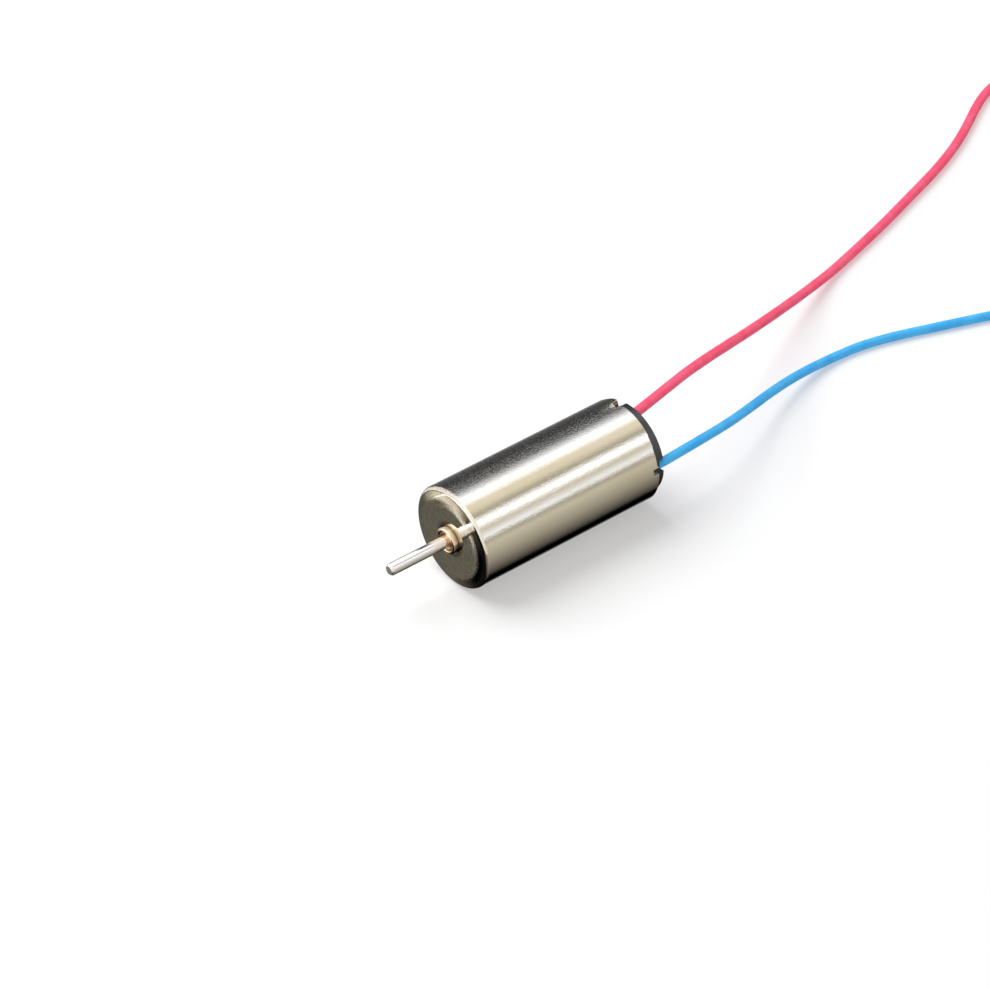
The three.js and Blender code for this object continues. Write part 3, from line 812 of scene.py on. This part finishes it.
size = 3.0
floor = bpy.data.objects.new("floor", bpy.data.meshes.new("floor"))
floor.data.from_pydata([(-size, -size, 0), (size, -size, 0), (size, size, 0), (-size, size, 0)], [], [(0, 1, 2, 3)])
floor.data.materials.append(material("white_sweep", flat_floor))
floor.location.z = -2e-5
SCENE.collection.objects.link(floor)
floor.visible_glossy = False


def area(name, direction, distance, width, power, colour=(1, 1, 1)):
    data = bpy.data.lights.new(name, "AREA")
    data.shape, data.size, data.energy, data.color = "DISK", width, power, colour
    obj = bpy.data.objects.new(name, data)
    d = Vector(direction).normalized()
    obj.location = Vector((0.0, 0.002, 0.003)) + d * distance
    obj.rotation_mode = "QUATERNION"
    obj.rotation_quaternion = (-d).to_track_quat("-Z", "Y")
    obj.visible_glossy = False
    SCENE.collection.objects.link(obj)
    return obj


area("key", (-0.52, -0.22, 0.82), 0.60, 0.60, 3.8)

# a small strip above the shaft, seen only as a highlight
strip_data = bpy.data.lights.new("shaft_strip", "AREA")
strip_data.shape, strip_data.size, strip_data.size_y, strip_data.energy = "RECTANGLE", 4.8 * MM, 4.2 * MM, 6.0e-5
strip_data.use_shadow = False
strip = bpy.data.objects.new("shaft_strip", strip_data)
strip.location = Vector((-1.98, -8.5, 5.62)) * MM
strip.rotation_mode = "QUATERNION"
strip.rotation_quaternion = Vector((1.98, 0.0, -2.12)).to_track_quat("-Z", "Y")
strip.visible_camera = strip.visible_diffuse = False
SCENE.collection.objects.link(strip)

world = bpy.data.worlds.new("studio")
SCENE.world = world
world.use_nodes = True
g = Graph(world.node_tree)
direction = g.node("ShaderNodeTexCoord").outputs["Generated"]
dx, dy, dz = g.node("ShaderNodeSeparateXYZ", {"Vector": direction}).outputs
turn = g.math("ARCTAN2", dx, dz)                 # round the motor's axis, from overhead


def cards(stops, low, high):
    """Ramp stops from (degrees, brightness, tint), halved so that a card may be brighter than 1."""
    return [((deg - low) / (high - low), tuple(level * t / 2 for t in tint)) for deg, level, tint in stops]


COOL, WARM = (1.0, 1.05, 1.15), (1.0, 0.94, 0.78)
# round the can: a broad strip overhead, a dark flag to its left, two narrow strips over a warm bounce to its right
LEFT = [
    (-180, 0.0, COOL), (-165, 0.0, COOL), (-145, 0.5, COOL), (-130, 0.5, COOL), (-110, 0.1, COOL), (-75, 0.04, COOL),
    (-45, 0.15, COOL), (-30, 0.75, COOL), (-15, 1.5, COOL), (0, 0.85, WARM),
]
RIGHT = [
    (0, 0.85, WARM), (12, 0.8, WARM), (26, 0.4, WARM), (41, 1.5, COOL), (55, 0.6, WARM), (72, 1.0, COOL), (80, 0.4, WARM),
    (90, 0.6, WARM), (140, 0.2, WARM), (170, 0.0, WARM), (180, 0.0, WARM),
]
left = g.ramp(g.node("ShaderNodeMapRange", {"Value": turn, "From Min": -math.pi, "From Max": 0.0}).outputs["Result"], cards(LEFT, -180, 0))
right = g.ramp(g.node("ShaderNodeMapRange", {"Value": turn, "From Min": 0.0, "From Max": math.pi}).outputs["Result"], cards(RIGHT, 0, 180))
sides = g.mix(g.math("GREATER_THAN", turn, 0.0), left, right)

# towards the front: a bright wall over a dark desk, with the lit desk to the left
across = g.node("ShaderNodeMapRange", {"Value": dx, "From Min": -1.0, "From Max": 1.0}).outputs["Result"]
edge = g.ramp(across, [(0.0, (0.25,) * 3), (0.3, (0.3,) * 3), (0.5, (0.5,) * 3), (1.0, (0.35,) * 3)])
over = g.math("SUBTRACT", dz, g.math("SUBTRACT", g.math("MULTIPLY", edge, 2.0), 1.0))
wall = g.ramp(across, [(0.0, (0.45, 0.42, 0.40)), (0.45, (0.6, 0.6, 0.6)), (1.0, (0.40, 0.37, 0.32))])
desk = g.ramp(across, [(0.2, (0.06, 0.057, 0.05)), (0.27, (0.003,) * 3), (0.66, (0.003,) * 3), (0.88, (0.1, 0.09, 0.08)), (1.0, (0.15, 0.14, 0.12))])
front = g.mix(g.step(over, -0.05, 0.05), desk, wall)

# close to the direction that the flat front of the can mirrors: a dull patch, a lit window beside it, then a ledge
aside, above = g.math("ADD", dx, 0.603), g.math("ADD", dz, 0.6456)
off = g.math("SQRT", g.math("ADD", g.math("MULTIPLY", aside, aside), g.math("MULTIPLY", above, above)))
bearing = g.node("ShaderNodeMapRange", {"Value": g.math("ARCTAN2", aside, above), "From Min": -math.pi, "From Max": math.pi}).outputs["Result"]
DULL = 0.13
WINDOW = [(-180, DULL, WARM), (-20, DULL, WARM), (4, 0.8, WARM), (50, 0.7, WARM), (80, 0.15, WARM), (180, DULL, WARM)]
LEDGE = [
    (-180, DULL, WARM), (-60, 0.1, WARM), (-30, 0.8, WARM), (8, 0.8, WARM), (32, 0.08, WARM), (80, 0.0, WARM), (130, 0.0, WARM), (160, 0.08, WARM), (180, DULL, WARM),
]
front = g.mix(g.step(off, 0.125, 0.15), g.ramp(bearing, cards(LEDGE, -180, 180)), front)
front = g.mix(g.step(off, 0.082, 0.096), g.ramp(bearing, cards(WINDOW, -180, 180)), front)
flat_grey = tuple(DULL * t / 2 for t in WARM)
front = g.mix(g.step(off, 0.022, 0.036), flat_grey, front)
seen = g.mix(g.step(dy, -0.14, 0.2, 1.0, 0.0), sides, front)
glossy = g.node("ShaderNodeBackground", {"Color": seen, "Strength": 2.0})

soft = g.mix(g.step(dz, -0.2, 1.0), (0.95, 0.97, 1.0), (1.0, 1.0, 1.0))
fill = g.node("ShaderNodeBackground", {"Color": soft, "Strength": 0.46})
plain = g.node("ShaderNodeBackground", {"Color": (1.0, 1.0, 1.0), "Strength": 1.0})
path_info = g.node("ShaderNodeLightPath")
first_mix = g.node("ShaderNodeMixShader", {0: path_info.outputs["Is Glossy Ray"], 1: fill.outputs[0], 2: glossy.outputs[0]})
second_mix = g.node("ShaderNodeMixShader", {0: path_info.outputs["Is Camera Ray"], 1: first_mix.outputs[0], 2: plain.outputs[0]})
g.node("ShaderNodeOutputWorld", {"Surface": second_mix.outputs[0]})

SCENE.view_settings.view_transform = "Standard"
SCENE.view_settings.look = "None"
SCENE.view_settings.exposure = 0.0
SCENE.view_settings.gamma = 1.0
